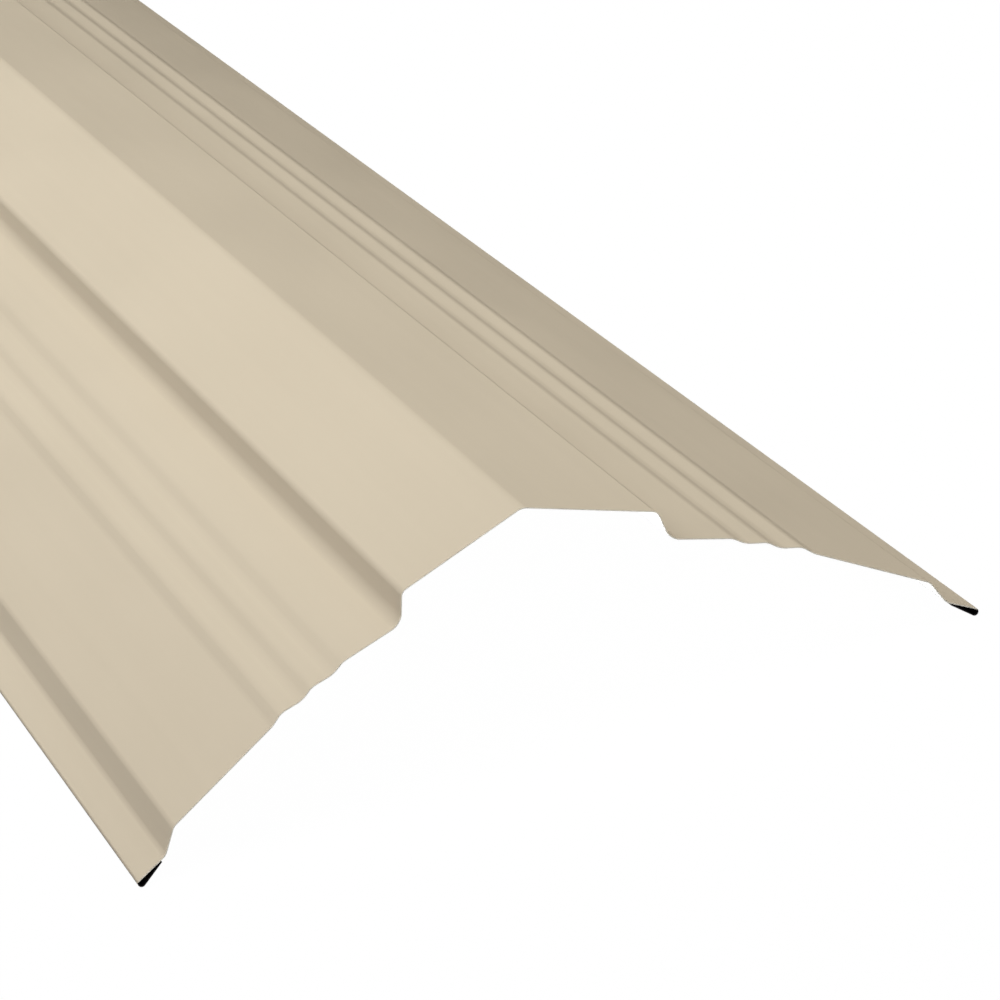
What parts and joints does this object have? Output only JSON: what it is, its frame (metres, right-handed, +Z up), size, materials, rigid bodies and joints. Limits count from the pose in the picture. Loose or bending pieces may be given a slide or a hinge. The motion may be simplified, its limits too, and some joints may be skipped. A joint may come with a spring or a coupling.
{
  "type": "roof ridge cap",
  "caption": "Long painted sheet-steel roof ridge cap with two sloping legs, stepped and beaded, and edges folded under; covers the joint along the top of a metal roof.",
  "frame": {"origin": "middle of the underside, on the floor that the two folded edges stand on, halfway along the length and below the ridge line", "axes": "+X across the cap from one leg to the other, +Y along the ridge line, +Z up"},
  "size_m": [0.3556, 3.2004, 0.1024],
  "materials": {
    "painted_steel": "satin beige baked paint"
  },
  "bodies": {
    "root": {"ridge_cap": "painted_steel"}
  },
  "joints": []
}
